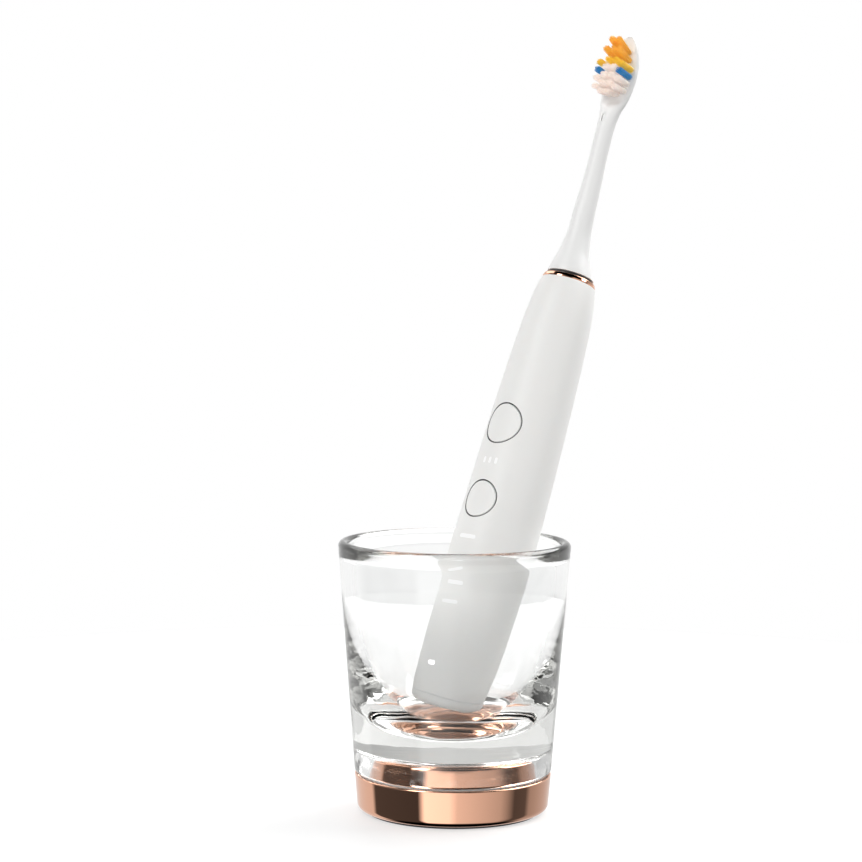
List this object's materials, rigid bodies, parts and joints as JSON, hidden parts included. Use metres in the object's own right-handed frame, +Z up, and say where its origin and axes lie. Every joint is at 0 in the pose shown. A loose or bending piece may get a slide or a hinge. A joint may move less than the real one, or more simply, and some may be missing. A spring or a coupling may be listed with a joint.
{
  "type": "electric toothbrush in a charging glass",
  "caption": "Electric toothbrush with a push-on brush head, two press buttons and a swinging drive shaft, leaning in a thick glass tumbler on a round plated charging base.",
  "frame": {"origin": "on the surface, under the centre of the round charging base", "axes": "+Z up; +X to the right and +Y to the back as the buttons' side is looked at; the brush leans towards +X and +Y"},
  "size_m": [0.1049, 0.1, 0.2702],
  "materials": {
    "foot_rubber": "matt moulded rubber",
    "cover_plastic": "fine moulded grain",
    "screw_steel": "turned steel",
    "rose_plating": "mirror rose-gold plating",
    "black_rubber": "matt",
    "copper_winding": "enamelled wire",
    "ferrite": "sintered, matt",
    "natural_nylon": "moulded",
    "board_laminate": "solder mask",
    "chip_epoxy": "moulded epoxy",
    "clear_glass": "fire-polished clear",
    "white_shell": "satin gloss",
    "grey_seal": "matt silicone",
    "clear_silicone": "clear silicone",
    "black_plastic": "gloss",
    "frame_plastic": "glass-filled, matt",
    "motor_steel": "pressed steel",
    "bearing_steel": "ground",
    "cell_wrap": "shrink wrap",
    "nickel_strip": "rolled",
    "foam_pad": "open foam",
    "light_lens": "translucent, satin",
    "lit_lens": "translucent, lit",
    "magnet_plating": "nickel plate",
    "white_key": "satin gloss",
    "white_head": "gloss",
    "orange_bristle": "nylon filament",
    "yellow_bristle": "nylon filament",
    "blue_bristle": "nylon filament",
    "clear_bristle": "translucent nylon filament"
  },
  "bodies": {
    "base": {"foot_pad": "foot_rubber", "base_cover": "cover_plastic", "cover_screws": "screw_steel", "base_ring": "rose_plating", "seat_gasket": "clear_silicone", "base_top": "rose_plating", "charge_coil": "copper_winding", "coil_core": "ferrite", "coil_former": "natural_nylon", "charger_board": "board_laminate", "board_parts": "chip_epoxy", "lead_gland": "foot_rubber"},
    "glass": {"tumbler": "clear_glass"},
    "handle": {"handle_shell": "white_shell", "end_cap": "white_shell", "end_cap_seal": "clear_silicone", "top_collar": "rose_plating", "nose": "black_plastic", "shaft_seal": "black_rubber", "chassis": "frame_plastic", "motor_yoke": "motor_steel", "motor_coil": "copper_winding", "lower_bearing": "bearing_steel", "upper_bearing": "bearing_steel", "battery": "cell_wrap", "battery_tabs": "nickel_strip", "battery_foam": "foam_pad", "circuit_board": "board_laminate", "chassis_screws": "screw_steel", "switches": "chip_epoxy", "light_chips": "light_lens", "mode_lights": "light_lens", "strength_lights": "light_lens", "battery_light": "lit_lens", "button_seals": "grey_seal", "receiver_coil": "copper_winding", "receiver_core": "ferrite"},
    "drive": {"drive_shaft": "bearing_steel", "rotor_hub": "motor_steel", "rotor_magnets": "magnet_plating"},
    "power_key": {"power_button": "white_key"},
    "mode_key": {"mode_button": "white_key"},
    "head": {"brush_head": "white_head", "head_tag_ring": "copper_winding", "orange_tufts": "orange_bristle", "yellow_tufts": "yellow_bristle", "blue_tufts": "blue_bristle", "clear_tufts": "clear_bristle"}
  },
  "joints": [
    {"name": "glass_lift", "type": "slide", "parent": "base", "child": "glass", "axis": [0, 0, 1], "range_m": [0, 0.06]},
    {"name": "brush_lift", "type": "slide", "parent": "glass", "child": "handle", "axis": [0.2659, 0.2523, 0.9304], "range_m": [0, 0.1]},
    {"name": "shaft_swing", "type": "hinge", "parent": "handle", "child": "drive", "pos_m": [0.03151, 0.02991, 0.15285], "axis": [0.2659, 0.2523, 0.9304], "range_deg": [-5.5, 5.5], "stiffness_Nm_per_rad": 0.05},
    {"name": "head_pull", "type": "slide", "parent": "drive", "child": "head", "axis": [0.2659, 0.2523, 0.9304], "range_m": [0, 0.02]},
    {"name": "power_press", "type": "slide", "parent": "handle", "child": "power_key", "axis": [0.6252, 0.6895, -0.3656], "range_m": [0, 0.0005], "stiffness_N_per_m": 400, "springref_m": -0.002},
    {"name": "mode_press", "type": "slide", "parent": "handle", "child": "mode_key", "axis": [0.6252, 0.6895, -0.3656], "range_m": [0, 0.0005], "stiffness_N_per_m": 400, "springref_m": -0.002}
  ]
}
